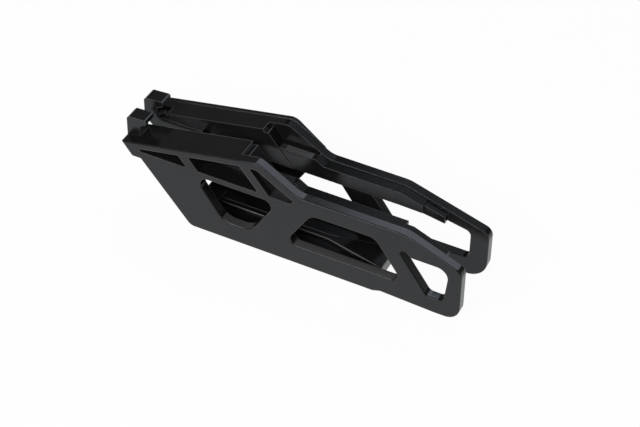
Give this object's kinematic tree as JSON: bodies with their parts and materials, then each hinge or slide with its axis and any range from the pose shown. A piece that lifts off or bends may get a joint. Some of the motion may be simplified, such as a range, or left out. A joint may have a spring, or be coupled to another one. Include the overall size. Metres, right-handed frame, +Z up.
{
  "type": "motorcycle chain guide",
  "caption": "Black moulded chain guide for a motorcycle swingarm, with windowed side walls, inner chain rails, slotted front blocks and hooked claws.",
  "frame": {"origin": "middle of the sole, under the centre of the length and the width", "axes": "+X from the clawed nose to the tail, +Y from the near wall to the far wall, +Z up to the back edge"},
  "size_m": [0.224, 0.0488, 0.0673],
  "materials": {
    "body": "fine satin grain"
  },
  "bodies": {
    "root": {"chain_guide": "body"}
  },
  "joints": []
}
